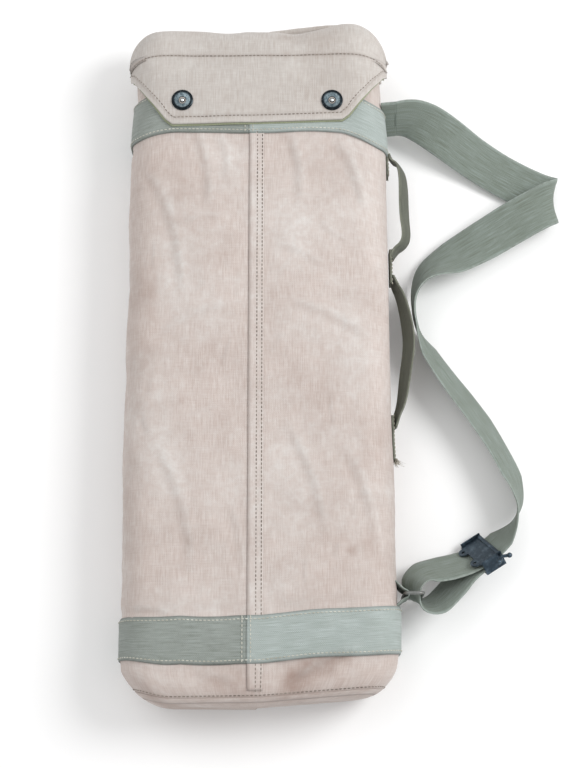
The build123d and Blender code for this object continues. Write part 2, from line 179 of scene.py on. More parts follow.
def spot(s, y, place, size, stretch=1.0):
    """1 at place, fading to 0 about size away."""
    return np.exp(-(((s - place[0]) / size) ** 2) - (((y - place[1]) / (size * stretch)) ** 2))


# Stains and pale scuffs, with painted fold shadow among the body's stains: (place as distance across and
# height or length along, size, stretch, strength)
body_stains_and_shadow = [
    ((-0.066, -0.023), 0.004, 1.0, 0.7), ((-0.042, 0.190), 0.003, 1.0, 0.6),
    ((-0.060, -0.146), 0.004, 1.0, 0.7), ((0.082, -0.159), 0.0045, 1.0, 0.8),
    ((0.0945, -0.155), 0.004, 1.0, 0.7), ((-0.098, 0.02), 0.012, 1.0, 0.25),
    ((0.070, 0.19), 0.022, 1.0, 0.25), ((-0.02, -0.262), 0.030, 1.0, 0.35),
    # Painted shadow of the diagonal fold below the lower band, at the right.
    ((0.05, -0.268), 0.022, 1.0, 0.55),
]
body_scuffs = [
    ((-0.075, 0.085), 0.020, 2.2, 0.45), ((-0.040, 0.060), 0.014, 1.6, 0.35),
    ((-0.028, 0.200), 0.012, 1.8, 0.5), ((0.040, 0.130), 0.018, 1.6, 0.5),
    ((0.085, 0.02), 0.018, 2.6, 0.4), ((0.040, -0.11), 0.022, 2.0, 0.35),
    ((-0.085, -0.09), 0.018, 2.2, 0.35), ((0.10, 0.16), 0.020, 1.8, 0.35),
]
flap_stains = [
    ((0.028, 0.094), 0.010, 0.7, 0.65), ((0.058, 0.090), 0.018, 1.0, 0.40),
    ((0.026, 0.118), 0.004, 1.0, 0.35), ((-0.060, 0.080), 0.022, 0.8, 0.30),
]
# Folds worn into the canvas: (start, end, width, depth), as distance round the bag and height
worn_folds = [
    ((0.018, -0.276), (0.088, -0.246), 0.0055, 0.0042),
    ((0.030, -0.268), (0.070, -0.262), 0.0040, 0.0016),
    ((-0.116, -0.206), (-0.074, -0.212), 0.0035, 0.0020),
    ((-0.110, 0.200), (-0.072, 0.060), 0.0050, 0.0018),
    ((-0.064, 0.232), (-0.050, 0.150), 0.0050, 0.0022),
    ((-0.040, 0.226), (-0.032, 0.176), 0.0040, 0.0014),
    ((0.024, 0.228), (0.034, 0.150), 0.0050, 0.0020),
    ((0.062, 0.226), (0.096, 0.150), 0.0055, 0.0020),
    ((-0.100, 0.030), (-0.026, 0.064), 0.0050, 0.0014),
    ((0.018, 0.066), (0.100, 0.028), 0.0050, 0.0016),
    ((-0.096, -0.060), (-0.060, -0.180), 0.0050, 0.0016),
    ((0.020, -0.040), (0.056, -0.150), 0.0045, 0.0015),
    ((0.070, -0.060), (0.102, -0.180), 0.0050, 0.0018),
    ((-0.030, -0.110), (-0.014, -0.190), 0.0040, 0.0014),
    ((-0.060, -0.262), (-0.020, -0.270), 0.0045, 0.0018),
    ((0.010, 0.120), (0.060, 0.096), 0.0035, 0.0012),
    ((-0.090, 0.132), (-0.030, 0.146), 0.0035, 0.0011),
    ((0.140, 0.180), (0.150, 0.020), 0.0060, 0.0020),
    ((-0.140, 0.160), (-0.148, -0.020), 0.0060, 0.0022),
    ((-0.146, -0.060), (-0.138, -0.200), 0.0060, 0.0020),
]
small_folds = []
chance = np.random.default_rng(7)
for _ in range(90):
    place = np.array([chance.uniform(-half_girth, half_girth), chance.uniform(-0.27, 0.27)])
    way = chance.choice([0.5, 1.1, 1.6, 2.2, 2.7]) + chance.normal(0, 0.2)
    reach = chance.uniform(0.014, 0.042) * np.array([math.cos(way), math.sin(way)])
    small_folds.append((tuple(place), tuple(place + reach), chance.uniform(0.0014, 0.0032),
                        chance.uniform(0.0004, 0.0011)))


def add_spots(marks, s, y, spots):
    """The marks with these spots laid over them."""
    for place, size, stretch, strength in spots:
        marks = marks + strength * spot(s, y, place, size, stretch)
    return marks


def section(s):
    """The plain cross-section at distance s round from the front's middle: x, z and the outward x, z."""
    a, side = np.abs(s), np.where(s < 0, -1.0, 1.0)
    turn = np.clip((a - flat_half) / side_corner, 0, math.pi / 2)
    turn = turn + np.clip((a - flat_half - corner_run - side_run) / side_corner, 0, math.pi / 2)
    down = np.clip(a - flat_half - corner_run, 0, side_run)
    back = np.maximum(a - flat_half - 2 * corner_run - side_run, 0)
    x = np.minimum(a, flat_half) + side_corner * np.sin(turn) - back
    z = depth - side_corner - down + side_corner * np.cos(turn)
    return side * x, z, side * np.sin(turn), np.cos(turn)


def tuck(y, radius):
    """How far the bag's bottom end draws in at height y."""
    short = radius - np.clip(y - bottom_y, 0, radius)
    return radius - np.sqrt(np.maximum(radius**2 - short**2, 0))


def relief(s, y):
    """How far the canvas stands out from the plain form."""
    out = 0.0019 * swell(s, y, 0.082, 11) + 0.0010 * swell(s, y, 0.036, 12)
    out += 0.0009 * (0.45 - np.abs(swell(s + 0.35 * y, y, 0.030, 13)))
    out += 0.0004 * (0.45 - np.abs(swell(s - 0.5 * y, y, 0.014, 14)))
    for start, end, width, deep in worn_folds + small_folds:
        out -= 0.7 * deep * groove(s, y, start, end, width)
        shift = 1.7 * width
        out += 0.4 * deep * groove(s - shift * 0.8, y - shift * 0.6, start, end, width)
    front = smooth((0.118 - np.abs(s)) / 0.03)
    fill = np.cos(np.clip(np.abs(np.abs(s) - 0.045) / 0.05, 0, 1) * math.pi / 2)
    out += front * (0.0016 * fill - 0.0008) * smooth((y - bottom_y) / 0.05)
    for low, high in (upper_band, lower_band):
        edge = np.minimum(np.abs(y - low + 0.004), np.abs(y - high - 0.004))
        inside = (y > low) & (y < high)
        out = np.where(inside, 0.35 * out, out) - 0.0011 * np.exp(-((edge / 0.006) ** 2)) * ~inside
    out *= 1 - 0.85 * np.exp(-(((np.abs(s) - 0.006) / 0.010) ** 2))
    for x, height in snap_spots:
        out *= 1 - np.exp(-((s - x) ** 2 + (y - height) ** 2) / 0.018**2)
    out *= 1 - 0.8 * smooth((y - mouth_y + 0.015) / 0.015)
    handle_side = spot(s, y, (0.146, 0.09), 0.020, 8.0)
    return out * (1 - 0.9 * np.clip(handle_side * 1.6, 0, 1)) - 0.0004


def body(s, y, lift=0.0):
    """Points on the sagging canvas, at distance s round it and height y, moved out by lift."""
    s, y = np.broadcast_arrays(np.asarray(s, float), np.asarray(y, float))
    x, z, out_x, out_z = section(s)
    x = x * (1 - tuck(y, end_corner) / half_width)
    z = depth / 2 + (z - depth / 2) * (1 - tuck(y, end_round) / (depth / 2))
    right = np.interp(-y, (-0.30, -0.275, -0.24, -0.05, 0.05, 0.16, 0.22, 0.286),
                      (0.1125, 0.1150, 0.1185, 0.1195, 0.1205, 0.1230, 0.1252, 0.1240))
    left = np.interp(-y, (-0.30, -0.275, -0.24, 0.0, 0.10, 0.20, 0.286),
                     (0.1115, 0.1135, 0.1160, 0.1176, 0.1180, 0.1182, 0.1175))
    x = x * np.where(x > 0, right, left) / half_width
    out = relief(s, y) + lift
    x, z = x + out_x * out, z + out_z * out
    z = np.maximum(z, 0.0005 + lift * (out_z < -0.5) * 0.2)
    lean = smooth((-0.06 - y) / 0.14)
    skew = np.where(x > 0.005, 0.078 * (x - 0.005), 0.016 * (x - 0.005))
    cut = 0.010 * smooth((-0.070 - x) / 0.050) * smooth((-0.225 - y) / 0.055)
    droop = smooth((y - 0.10) / 0.09) * smooth((mouth_y - 0.005 - y) / 0.03)
    fall = smooth((np.abs(s) - 0.074) / 0.045) * np.where(s < 0, 0.006, 0.012)
    return np.stack([x, y + lean * skew + cut - droop * fall, z], -1)


def outward(s):
    """The direction out of the canvas, without its folds."""
    _, _, out_x, out_z = section(np.asarray(s, float))
    return np.stack([out_x, np.zeros_like(out_x), out_z], -1)


def body_marks(s, y):
    """How dirty, rubbed pale and shaded the canvas is, each from 0 to 1: the first mark holds painted shadow
    as well as dirt, the last is painted shade in the creases.
    """
    # Darker over the left side, which is painted shade on the side away from the light together with soiling,
    # and darker towards the bottom.
    soil_and_shadow = 0.22 * smooth((-0.02 - s) / 0.12) + 0.25 * smooth((-0.245 - y) / 0.04)
    soil_and_shadow += 0.30 * np.clip(swell(s, y, 0.060, 21), 0, 1) + 0.15 * np.clip(swell(s, y, 0.024, 22), 0, 1)
    # The groove term paints the shadow of the diagonal fold below the lower band, at the right.
    soil_and_shadow = add_spots(soil_and_shadow, s, y, body_stains_and_shadow) + 0.9 * groove(s, y, (0.018, -0.276), (0.090, -0.246), 0.010)
    fade = 0.30 * np.clip(swell(s + 0.2 * y, y, 0.050, 31), 0, 1)
    fade += 0.25 * np.clip(swell(s, y, 0.017, 32), 0, 1)
    fade = add_spots(fade, s, y, body_scuffs)
    shade = np.zeros_like(s)
    for start, end, width, deep in worn_folds + small_folds:
        lip = 1.7 * width
        fade = fade + 170 * deep * groove(s - lip * 0.8, y - lip * 0.6, start, end, 0.6 * width)
        # Painted shade along the groove of each fold.
        shade = shade + 90 * deep * groove(s, y, start, end, width)
    return np.clip(soil_and_shadow, 0, 1), np.clip(fade, 0, 1), np.clip(shade, 0, 1)


# ---------------------------------------------------------------- meshes

def grid_faces(rows, columns, closed=False):
    """The quads of a grid of points, joined round when it is closed."""
    strips = columns if closed else columns - 1
    row, column = np.meshgrid(np.arange(rows - 1), np.arange(strips), indexing="ij")
    a = row * columns + column
    b = row * columns + (column + 1) % columns
    return np.stack([a, b, b + columns, a + columns], -1).reshape(-1, 4)


def make_mesh(name, points, faces, material, cloth=None, marks=None, out=None):
    """A smooth-shaded object of these points, with its weave places and its marks kept on the points."""
    points = np.asarray(points, float).reshape(-1, 3)
    faces = [tuple(int(i) for i in face) for face in faces]
    if out is not None:
        a, b, c = (points[[face[k] for face in faces]] for k in (0, 1, 2))
        facing = np.cross(b - a, c - a)
        if (facing * np.asarray(out, float).reshape(-1, 3)[[face[0] for face in faces]]).sum() < 0:
            faces = [face[::-1] for face in faces]
    mesh = bpy.data.meshes.new(name)
    mesh.from_pydata([tuple(p) for p in points], [], faces)
    mesh.shade_smooth()
    if cloth is not None:
        places = np.zeros((len(points), 3), np.float32)
        places[:, :2] = np.asarray(cloth, float).reshape(-1, 2)
        mesh.attributes.new("cloth", "FLOAT_VECTOR", "POINT").data.foreach_set("vector", places.ravel())
    for word, values in zip(mark_words, marks if marks is not None else ()):
        values = np.broadcast_to(np.asarray(values, float).ravel(), (len(points),)).astype(np.float32)
        mesh.attributes.new(word, "FLOAT", "POINT").data.foreach_set("value", np.ascontiguousarray(values))
    mesh.materials.append(material)
    piece = bpy.data.objects.new(name, mesh)
    bpy.context.scene.collection.objects.link(piece)
    return piece


def thicken(piece, thickness, way=-1.0):
    """Give a sheet its thickness, inwards unless way is 1."""
    made = piece.modifiers.new("ply", "SOLIDIFY")
    made.thickness = thickness
    made.offset = way
    made.use_even_offset = False
    return piece


def unit(v):
    """The vectors, each made one long."""
    return v / np.maximum(np.linalg.norm(v, axis=-1, keepdims=True), 1e-9)


def resample(line, pitch):
    """The line's points, spaced evenly at about pitch."""
    line = np.asarray(line, float)
    steps = np.linalg.norm(np.diff(line, axis=0), axis=1)
    reach = np.concatenate([[0], np.cumsum(steps)])
    count = max(2, int(round(reach[-1] / pitch)) + 1)
    at = np.linspace(0, reach[-1], count)
    return np.stack([np.interp(at, reach, line[:, k]) for k in range(3)], -1), at / reach[-1]


def spline_line(points):
    """Points along the smooth spline that these control points make."""
    curve = bpy.data.curves.new("line", "CURVE")
    curve.dimensions = "3D"
    curve.resolution_u = 14
    spline = curve.splines.new("NURBS")
    spline.points.add(len(points) - 1)
    for control, place in zip(spline.points, points):
        control.co = (*place, 1.0)
    spline.order_u = 3
    spline.use_endpoint_u = True
    holder = bpy.data.objects.new("line", curve)
    mesh = bpy.data.meshes.new_from_object(holder)
    line = np.array([v.co for v in mesh.vertices], float)
    bpy.data.objects.remove(holder)
    bpy.data.meshes.remove(mesh)
    return line


def webbing(name, line, side, width, thickness, material, cup=0.0, crease=None, marks=None):
    """A flat woven strap along line, its edges towards side, with rounded selvedges; cup bows it across."""
    line, side = np.asarray(line, float), unit(np.asarray(side, float))
    run = unit(np.gradient(line, axis=0))
    side = unit(side - run * (side * run).sum(-1, keepdims=True))
    face = np.cross(side, run)
    across = np.concatenate([np.linspace(-1, 1, 17), np.linspace(1, -1, 17)])
    half = np.concatenate([np.ones(17), -np.ones(17)]) * thickness / 2
    rounding = np.sqrt(np.clip(1 - np.clip((np.abs(across) - 0.93) / 0.07, 0, 1) ** 2, 0.04, 1))
    reach = np.concatenate([[0], np.cumsum(np.linalg.norm(np.diff(line, axis=0), axis=1))])
    bow = cup * (1 - across**2)[None, :] * np.ones((len(line), 1))
    if crease is not None:
        bow = bow + crease(reach[:, None] / reach[-1], across[None, :])
    rise = bow + (half * rounding)[None, :]
    points = line[:, None, :] + side[:, None, :] * (across * width / 2)[None, :, None]
    points = points + face[:, None, :] * rise[:, :, None]
    cloth = np.stack(np.broadcast_arrays((across * width / 2)[None, :], reach[:, None]), -1)
    faces = [tuple(f) for f in grid_faces(len(line), len(across), closed=True)]
    last = (len(line) - 1) * len(across)
    faces += [tuple(range(len(across)))[::-1], tuple(last + k for k in range(len(across)))]
    edge_wear = 0.75 * smooth((np.abs(across) - 0.86) / 0.14)[None, :] + 0 * reach[:, None]
    if marks is None:
        uneven = np.clip(0.5 * swell(across[None, :] * 0.02, reach[:, None], 0.035, 41), 0, 1)
        marks = (0.4 * uneven, edge_wear, 0 * edge_wear)
    return make_mesh(name, points, faces, material, cloth, marks)


def stitches(name, rows, material, pitch=0.0036, length=0.0025, radius=0.00042):
    """Thread stitches along rows of (points, outward directions), as small beads half sunk in the cloth."""
    rings = np.array([(-0.5, 0.35), (-0.28, 0.9), (0.0, 1.0), (0.28, 0.9), (0.5, 0.35)])
    angles = np.arange(6) * math.pi / 3
    points, faces = [], []
    bead = grid_faces(len(rings), len(angles), closed=True)
    for line, out in rows:
        line, share = resample(line, pitch)
        old = np.linspace(0, 1, len(out))
        out = unit(np.stack([np.interp(share, old, np.asarray(out)[:, k]) for k in range(3)], -1))
        run = unit(np.gradient(line, axis=0))
        out = unit(out - run * (out * run).sum(-1, keepdims=True))
        side = np.cross(run, out)
        for middle, t, n, b in zip(line, run, out, side):
            first = len(points)
            for place, size in rings:
                centre = middle + t * place * length
                for angle in angles:
                    points.append(centre + radius * size * (n * math.sin(angle) + b * 1.2 * math.cos(angle)))
            faces += [tuple(int(i) + first for i in f) for f in bead]
            faces.append(tuple(first + k for k in range(6))[::-1])
            faces.append(tuple(first + 24 + k for k in range(6)))
    return make_mesh(name, points, faces, material)


# ---------------------------------------------------------------- materials

class Nodes:
    """A material's node tree, with short ways to add what these finishes use."""

    def __init__(self, name, roughness, metallic=0.0, sheen=0.0):
        self.material = bpy.data.materials.new(name)
        self.material.use_nodes = True
        self.tree = self.material.node_tree
        self.shader = self.tree.nodes["Principled BSDF"]
        self.shader.inputs["Roughness"].default_value = roughness
        self.shader.inputs["Metallic"].default_value = metallic
        self.shader.inputs["Sheen Weight"].default_value = sheen
        self.shader.inputs["Sheen Roughness"].default_value = 0.6

    def add(self, kind, **values):
        """A node of this kind, its inputs set or linked from values."""
        node = self.tree.nodes.new("ShaderNode" + kind)
        for key, value in values.items():
            if key in ("operation", "data_type", "attribute_name"):
                setattr(node, key, value)
                continue
            spot_in = node.inputs[int(key[1:])] if key[0] == "_" and key[1:].isdigit() else node.inputs[key]
            if isinstance(value, bpy.types.NodeSocket):
                self.tree.links.new(value, spot_in)
            else:
                spot_in.default_value = value
        return node

    def maths(self, operation, *values):
        """One sum of these values or sockets."""
        values = {f"_{k}": value for k, value in enumerate(values)}
        return self.add("Math", operation=operation, **values).outputs[0]

    def times(self, one, other):
        return self.maths("MULTIPLY", one, other)

    def plus(self, one, other):
        return self.maths("ADD", one, other)

    def marks(self):
        """The piece's own marks: how soiled and shadowed, how faded, and how shaded it is; the shadow and the
        shade are painted.
        """
        return [self.add("Attribute", attribute_name=word).outputs["Fac"] for word in mark_words]

    def mix(self, share, one, other):
        """A colour between one and other."""
        node = self.add("Mix", data_type="RGBA", _0=share, _6=one, _7=other)
        return node.outputs[2]

    def noise(self, place, scale, detail=4.0, rough=0.6):
        """Cloudy noise from 0 to 1 at this scale."""
        node = self.add("TexNoise", Vector=place, Scale=scale, Detail=detail, Roughness=rough)
        return node.outputs[0]

    def band(self, value, low, high):
        """value stretched so that low gives 0 and high gives 1."""
        node = self.add("MapRange", Value=value)
        for key, number in (("From Min", low), ("From Max", high)):
            node.inputs[key].default_value = number
        node.clamp = True
        return node.outputs[0]

    def finish(self, colour, height=None, strength=0.5, distance=0.001, roughness=None):
        """The material, with this colour, relief and roughness on its shader."""
        self.tree.links.new(colour, self.shader.inputs["Base Color"])
        if roughness is not None:
            self.tree.links.new(roughness, self.shader.inputs["Roughness"])
        if height is not None:
            bump = self.add("Bump", Strength=strength, Distance=distance, Height=height)
            self.tree.links.new(bump.outputs[0], self.shader.inputs["Normal"])
        return self.material


def colour(red, green, blue):
    """A shader colour from screen values of 0 to 255."""
    def linear(value):
        share = value / 255
        return share / 12.92 if share <= 0.04045 else ((share + 0.055) / 1.055) ** 2.4

    return linear(red), linear(green), linear(blue), 1.0


def canvas(name, base, dirt_and_shade, pale, thread=0.0009, slub=0.35):
    """Plain-woven cotton canvas, washed out unevenly and soiled, with painted shadow and painted shade from
    its marks.
    """
    n = Nodes(name, roughness=0.92, sheen=0.12)
    place = n.add("Attribute", attribute_name="cloth").outputs["Vector"]
    split = n.add("SeparateXYZ", Vector=place)
    turn = math.pi / thread
    wave_u = n.maths("SINE", n.times(split.outputs[0], turn))
    wave_v = n.maths("SINE", n.times(split.outputs[1], turn))
    over = n.times(wave_u, wave_v)
    thick = n.maths("MAXIMUM", n.maths("ABSOLUTE", wave_u), n.maths("ABSOLUTE", wave_v))
    weave = n.plus(n.times(over, 0.5), thick)
    warp = n.add("Mapping", Vector=place, Scale=(1100.0, 60.0, 1.0)).outputs[0]
    weft = n.add("Mapping", Vector=place, Scale=(60.0, 1100.0, 1.0)).outputs[0]
    streak = n.plus(n.times(n.noise(warp, 1.0, 2.0), 1.4), n.times(n.noise(weft, 1.0, 2.0), 0.6))
    cloud = n.noise(place, 22.0, 6.0, 0.65)
    mottle = n.noise(place, 130.0, 5.0, 0.7)
    soil_and_shadow, fade, shade = n.marks()
    tone = n.mix(n.band(cloud, 0.38, 0.66), base, tuple(0.93 * c for c in base[:3]) + (1.0,))
    tone = n.mix(n.times(n.band(mottle, 0.45, 0.75), 0.30), tone, pale)
    tone = n.mix(n.times(n.band(streak, 0.80, 1.25), slub), tone, dirt_and_shade)
    rubbed = n.times(fade, n.band(n.plus(mottle, n.times(streak, 0.3)), 0.5, 1.0))
    tone = n.mix(n.times(rubbed, 0.95), tone, pale)
    # Stains, and painted shadow from the same mark, darken the cloth towards the dirt colour.
    stain_and_shadow = n.times(soil_and_shadow, n.band(cloud, 0.25, 0.70))
    tone = n.mix(n.times(stain_and_shadow, 0.85), tone, dirt_and_shade)
    # Painted shade in the creases: a darker copy of the dirt colour.
    deep = tuple(0.55 * c for c in dirt_and_shade[:3]) + (1.0,)
    tone = n.mix(n.times(shade, 0.60), tone, deep)
    height = n.plus(n.times(weave, 0.5), n.times(streak, 0.8))
    return n.finish(tone, height, strength=0.55, distance=0.0003)


def woven_band(name, base, dark, pale, rib=0.0016, across_ribs=True):
    """Stout cotton webbing: ribs across, fine ends along, rubbed at the selvedges."""
    n = Nodes(name, roughness=0.88, sheen=0.10)
    place = n.add("Attribute", attribute_name="cloth").outputs["Vector"]
    split = n.add("SeparateXYZ", Vector=place)
    u, v = (split.outputs[0], split.outputs[1]) if across_ribs else (split.outputs[1], split.outputs[0])
    zigzag = n.maths("PINGPONG", u, 0.0030)
    ribs = n.maths("SINE", n.times(n.plus(v, zigzag), 2 * math.pi / rib))
    ends = n.maths("SINE", n.times(u, 2 * math.pi / 0.0011))
    long_way = (1500.0, 45.0, 1.0) if across_ribs else (45.0, 1500.0, 1.0)
    streak = n.noise(n.add("Mapping", Vector=place, Scale=long_way).outputs[0], 1.0, 3.0)
    cloud = n.noise(place, 34.0, 5.0, 0.6)
    mottle = n.noise(place, 260.0, 4.0, 0.7)
    soil_and_shadow, fade, shade = n.marks()
    tone = n.mix(n.band(streak, 0.30, 0.70), dark, base)
    tone = n.mix(n.times(n.band(ribs, -0.2, 1.0), 0.18), tone, pale)
    tone = n.mix(n.times(n.band(cloud, 0.45, 0.75), 0.30), tone, dark)
    # Soil, with painted shadow from the same mark, darkens the band.
    tone = n.mix(n.times(soil_and_shadow, 0.55), tone, dark)
    rubbed = n.times(fade, n.band(mottle, 0.30, 0.72))
    tone = n.mix(rubbed, tone, pale)
    # Painted shade from the shade mark: dark lines along the band's edges and in its creases.
    tone = n.mix(n.times(shade, 0.6), tone, tuple(0.5 * c for c in dark[:3]) + (1.0,))
    height = n.plus(n.times(ribs, 0.5), n.times(ends, 0.3))
    height = n.plus(height, n.times(streak, 0.8))
    return n.finish(tone, height, strength=0.6, distance=0.0004)


def thread(name, base, dark):
    """Twisted cotton thread, browned in places."""
    n = Nodes(name, roughness=0.8, sheen=0.1)
    place = n.add("TexCoord").outputs["Object"]
    twist = n.noise(place, 2600.0, 3.0)
    wear = n.noise(place, 60.0, 3.0)
    tone = n.mix(n.band(wear, 0.35, 0.65), dark, base)
    tone = n.mix(n.times(n.band(twist, 0.4, 0.7), 0.4), tone, dark)
    return n.finish(tone, twist, strength=0.5, distance=0.0002)


def metal(name, base, worn, rust, roughness, metallic=1.0, wear=0.5):
    """Blackened or bare metal with rubbed patches, fine scratches and specks of rust."""
    n = Nodes(name, roughness=roughness, metallic=metallic)
    place = n.add("TexCoord").outputs["Object"]
    patch = n.noise(place, 190.0, 6.0, 0.65)
    scratch = n.noise(n.add("Mapping", Vector=place, Scale=(2600.0, 160.0, 400.0)).outputs[0], 1.0, 3.0)
    specks = n.noise(place, 700.0, 4.0, 0.6)
    tone = n.mix(n.times(n.band(patch, 0.48, 0.68), wear), base, worn)
    tone = n.mix(n.times(n.band(scratch, 0.55, 0.75), 0.35), tone, worn)
    tone = n.mix(n.times(n.band(specks, 0.62, 0.74), 0.7), tone, rust)
    rough = n.band(patch, 0.0, 1.0)
    rough = n.plus(n.times(rough, 0.25), roughness - 0.1)
    height = n.plus(patch, n.times(scratch, 0.4))
    return n.finish(tone, height, strength=0.25, distance=0.0002, roughness=rough)


def snap_metal(name, centre):
    """A blackened snap about centre: a painted highlight on the tip, painted shade in the hole round it, a
    rubbed dish and a black rim.
    """
    n = Nodes(name, roughness=0.36, metallic=1.0)
    place = n.add("TexCoord").outputs["Object"]
    flat = n.add("Mapping", Vector=place, Location=(-centre[0], -centre[1], 0.0), Scale=(1.0, 1.0, 0.0))
    radius = n.add("VectorMath", operation="LENGTH", _0=flat.outputs[0]).outputs["Value"]
    patch = n.noise(place, 420.0, 6.0, 0.7)
    dish = n.mix(n.band(patch, 0.40, 0.62), colour(84, 100, 108), colour(150, 164, 170))
    rim = n.mix(n.times(n.band(patch, 0.55, 0.70), 0.6), colour(34, 40, 44), colour(112, 122, 126))
    # The tip's pale spot is a painted highlight, and the near-black ring round it is painted shade in the
    # hole.
    tone = n.mix(n.band(radius, 0.0012, 0.0019), colour(214, 218, 218), colour(24, 28, 30))
    tone = n.mix(n.band(radius, 0.0031, 0.0038), tone, dish)
    tone = n.mix(n.band(radius, 0.0066, 0.0076), tone, rim)
    return n.finish(tone, patch, strength=0.25, distance=0.0002)


body_canvas = canvas("body_canvas", colour(200, 189, 183), colour(146, 120, 108), colour(218, 217, 214))
flap_canvas = canvas("flap_canvas", colour(191, 186, 181), colour(142, 122, 110), colour(212, 209, 204))
inner_canvas = canvas("inner_canvas", colour(166, 162, 140), colour(110, 104, 84), colour(196, 192, 174))
under_canvas = canvas("under_canvas", colour(160, 166, 138), colour(104, 108, 84), colour(190, 194, 170))
pale_band = woven_band("pale_band", colour(178, 188, 186), colour(140, 150, 144), colour(206, 212, 210))
dull_band = woven_band("dull_band", colour(154, 161, 157), colour(112, 118, 110), colour(186, 192, 188))
strap_cloth = woven_band("strap_cloth", colour(136, 148, 142), colour(92, 100, 86), colour(180, 190, 185))
handle_cloth = woven_band("handle_cloth", colour(104, 107, 94), colour(70, 73, 62), colour(146, 150, 136))
pale_thread = thread("pale_thread", colour(196, 190, 176), colour(140, 132, 116))
white_thread = thread("white_thread", colour(214, 214, 204), colour(170, 168, 154))
grey_thread = thread("grey_thread", colour(150, 140, 130), colour(104, 94, 86))
black_oxide = metal("black_oxide", colour(62, 74, 84), colour(120, 138, 152), colour(92, 70, 58), 0.42)
bare_steel = metal("bare_steel", colour(126, 128, 126), colour(178, 180, 178), colour(112, 86, 66), 0.40)


# ---------------------------------------------------------------- camera, floor and light

def camera():
    """Looks down on the bag's front, tipped a little towards its bottom."""
    aim = np.array([0.028, 0.0, 0.040])
    distance, tip = 1.600, math.radians(13.0)
    lens = bpy.data.cameras.new("camera")
    lens.lens = 83.4
    lens.sensor_width = 36.0
    eye = bpy.data.objects.new("camera", lens)
    eye.location = aim + distance * np.array([0.0, -math.sin(tip), math.cos(tip)])
    eye.rotation_euler = (tip, 0.0, 0.0)
    bpy.context.scene.collection.objects.link(eye)
    bpy.context.scene.camera = eye


def softbox(name, place, aim, size, energy):
    """A round soft light at place that faces aim."""
    lamp = bpy.data.lights.new(name, "AREA")
    lamp.shape = "DISK"
    lamp.size = size
    lamp.energy = energy
    holder = bpy.data.objects.new(name, lamp)
    holder.location = place
    direction = Vector(aim) - Vector(place)
    holder.rotation_euler = direction.to_track_quat("-Z", "Y").to_euler()
    bpy.context.scene.collection.objects.link(holder)


def studio():
    """A white floor under even white light, with the stronger side at the right."""
    mesh = bpy.data.meshes.new("floor")
    reach = 4.0
    mesh.from_pydata([(-reach, -reach, 0), (reach, -reach, 0), (reach, reach, 0), (-reach, reach, 0)], [],
                     [(0, 1, 2, 3)])
    white = Nodes("floor_white", roughness=0.9)
    soft = white.noise(white.add("TexCoord").outputs["Object"], 3.0)
    mesh.materials.append(white.finish(white.mix(soft, (0.93, 0.93, 0.93, 1.0), (0.95, 0.95, 0.95, 1.0))))
    floor = bpy.data.objects.new("floor", mesh)
    bpy.context.scene.collection.objects.link(floor)
    softbox("key", (1.25, 0.35, 1.35), (0.02, 0.0, 0.03), 0.9, 19.0)
    softbox("fill", (-0.9, 0.5, 1.6), (0.0, 0.0, 0.03), 1.6, 7.0)
    world = bpy.data.worlds.new("studio")
    world.use_nodes = True
    world.node_tree.nodes["Background"].inputs["Color"].default_value = (1.0, 1.0, 1.0, 1.0)
    world.node_tree.nodes["Background"].inputs["Strength"].default_value = 0.72
    bpy.context.scene.world = world
    bpy.context.scene.view_settings.view_transform = "Standard"


# ---------------------------------------------------------------- the shoulder strap

def shoulder_strap():
    """The whole strap, from the bag's side over its fold and through the buckle and ring to its end."""
    line = spline_line(strap_route)
    route = np.array(strap_route)
    knots = np.concatenate([[0], np.cumsum(np.linalg.norm(np.diff(route, axis=0), axis=1))])
    line, share = resample(line, 0.0025)
    side = np.stack([np.interp(share, knots / knots[-1], np.array(strap_lean)[:, k]) for k in range(3)], -1)

    def crease(reach, across):
        worn = smooth((reach - 0.36) / 0.05) * smooth((0.58 - reach) / 0.05)
        fold = -0.0016 * worn * np.exp(-(((across - 0.15) / 0.10) ** 2))
        return fold + 0.0005 * swell(across * 0.02, reach * 0.8, 0.03, 51)

    strap = webbing("strap", line, side, strap_width, strap_ply, strap_cloth,
                    cup=0.0006, crease=crease)
    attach(strap, "bag")
    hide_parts("shoulder_strap")
    root = spline_line([(0.1150, 0.2520, 0.0400), (0.1190, 0.2525, 0.0400), (0.1230, 0.2528, 0.0400),
                        (0.1280, 0.2534, 0.0399)])
    anchor = webbing("strap_root", root, [strap_lean[0]] * len(root), 0.0404, 0.0034, strap_cloth)
    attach(anchor, "bag")
    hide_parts("strap_anchor")


# ---------------------------------------------------------------- the bag

def heights():
    """Heights of the body's rows of points, from the mouth to the end of the bottom's rounding."""
    straight = np.arange(mouth_y, bottom_y + end_corner, -0.0022)
    turn = np.linspace(0, math.pi / 2, 17)
    return np.concatenate([straight, bottom_y + end_corner * (1 - np.sin(turn))])


